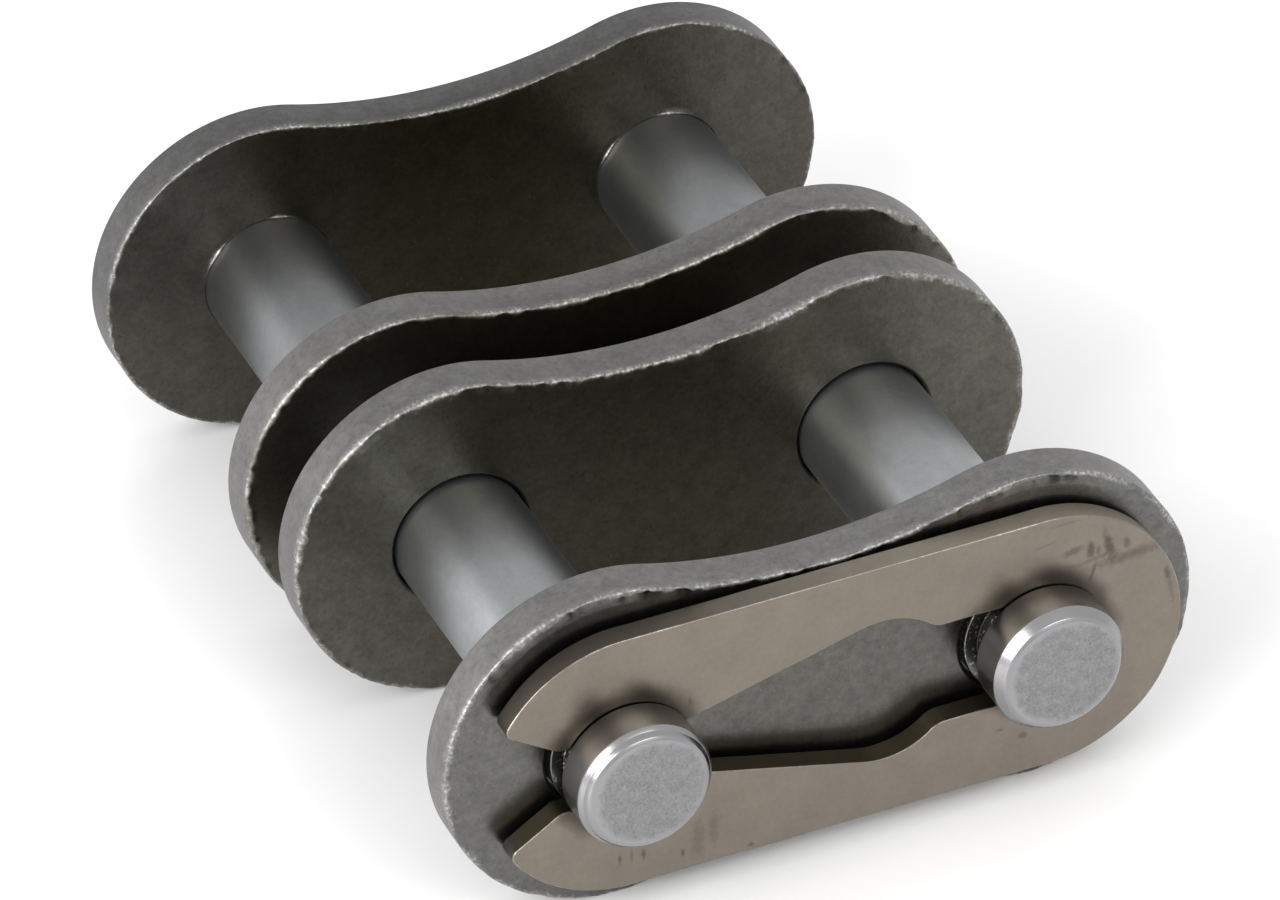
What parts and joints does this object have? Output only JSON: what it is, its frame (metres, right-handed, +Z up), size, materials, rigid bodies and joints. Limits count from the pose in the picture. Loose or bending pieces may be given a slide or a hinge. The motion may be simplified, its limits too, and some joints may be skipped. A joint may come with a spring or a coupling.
{
  "type": "duplex roller chain connecting link",
  "caption": "Connecting link for roller chain: long pins riveted to a rear plate carry loose figure-eight plates and a cover plate, locked by a flat spring clip.",
  "frame": {"origin": "under the middle of the overall length, width and depth, on the surface that the plates' lower lobes stand on", "axes": "+X along the chain towards the clip's closed end, +Y along the pins from the clip to the rear plate, +Z up"},
  "size_m": [0.0288, 0.038, 0.0129],
  "materials": {
    "plate_steel": "dark oxide on tumbled plate, bare and lighter on the sheared edges",
    "pin_steel": "ground, satin, with polished bevelled tips",
    "clip_steel": "hardened spring strip with a faint straw temper colour"
  },
  "bodies": {
    "base": {"rear_plate": "plate_steel", "pin_left": "pin_steel", "pin_right": "pin_steel", "spring_clip": "clip_steel"},
    "rear_middle": {"rear_middle_plate": "plate_steel"},
    "front_middle": {"front_middle_plate": "plate_steel"},
    "cover": {"cover_plate": "plate_steel"}
  },
  "joints": [
    {"name": "rear_middle_slide", "type": "slide", "parent": "base", "child": "rear_middle", "axis": [0, 1, 0], "range_m": [-0.0015, 0.0119]},
    {"name": "front_middle_slide", "type": "slide", "parent": "base", "child": "front_middle", "axis": [0, 1, 0], "range_m": [-0.00595, 0.0015]},
    {"name": "cover_slide", "type": "slide", "parent": "base", "child": "cover", "axis": [0, 1, 0], "range_m": [-0.00025, 0.00595]}
  ]
}
